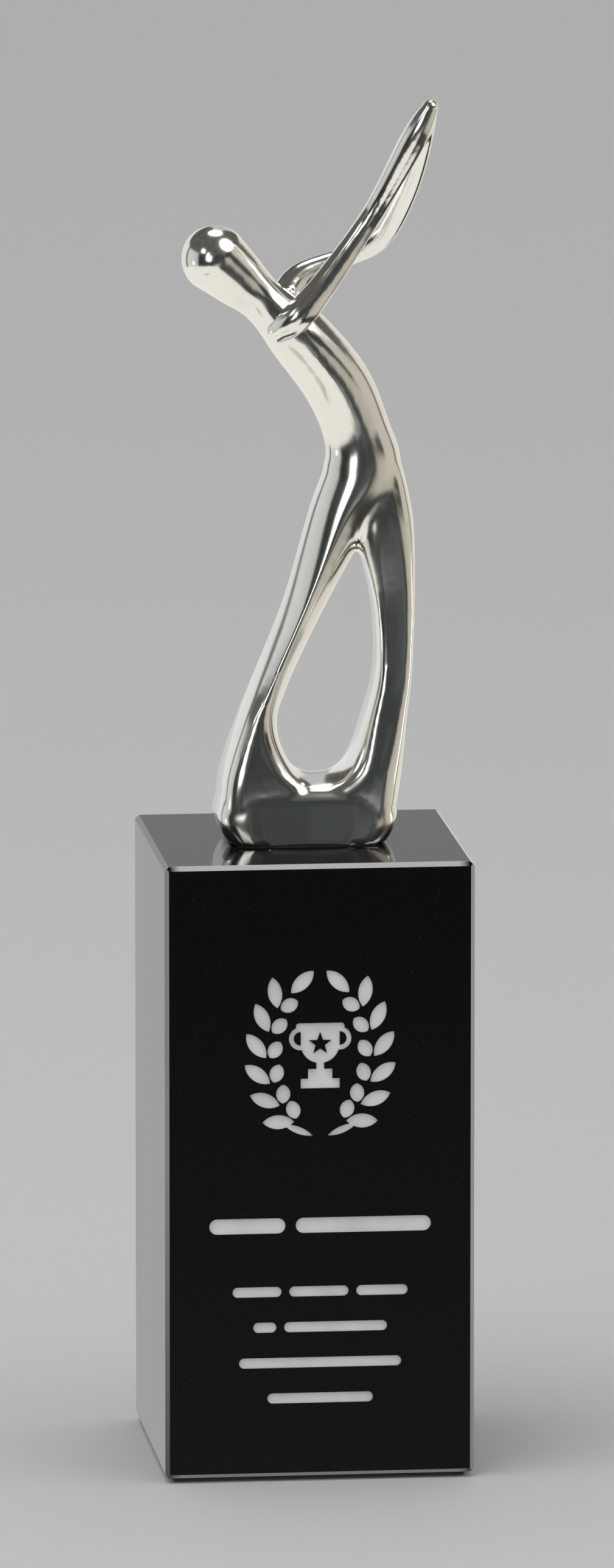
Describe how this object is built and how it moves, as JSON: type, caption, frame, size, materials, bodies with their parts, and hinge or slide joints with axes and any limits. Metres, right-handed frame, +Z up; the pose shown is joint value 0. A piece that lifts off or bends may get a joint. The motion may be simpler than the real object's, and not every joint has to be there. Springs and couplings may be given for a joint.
{
  "type": "figure trophy",
  "caption": "Faceless polished metal figure with raised arms, standing on a tall black crystal block with an engraved wreath, cup and bars.",
  "frame": {"origin": "middle of the underside of the felt pad, on the surface that the trophy stands on", "axes": "+Z up through the block and figure, +X to the right seen from the engraved face, -Y out of the engraved face"},
  "size_m": [0.06, 0.06, 0.2662],
  "materials": {
    "black_crystal": "opaque black optical crystal, polished on all faces, edges bevelled",
    "polished_metal": "mirror-polished bright plating, slightly warm",
    "steel": "plain turned steel",
    "adhesive": "cured two-part epoxy",
    "silver_fill": "flat light-grey colour fill in sand-carved recesses",
    "tape": "thin double-sided adhesive film",
    "felt": "black wool-blend felt"
  },
  "bodies": {
    "root": {"crystal_block": "black_crystal", "figure_body": "polished_metal", "arm_loop": "polished_metal", "mounting_stud": "steel", "stud_epoxy": "adhesive", "foot_bond": "adhesive", "wreath_left_fill": "silver_fill", "wreath_right_fill": "silver_fill", "cup_fill": "silver_fill", "heading_fill": "silver_fill", "line_1_fill": "silver_fill", "line_2_fill": "silver_fill", "line_3_fill": "silver_fill", "line_4_fill": "silver_fill", "pad_tape": "tape", "felt_pad": "felt"}
  },
  "joints": []
}
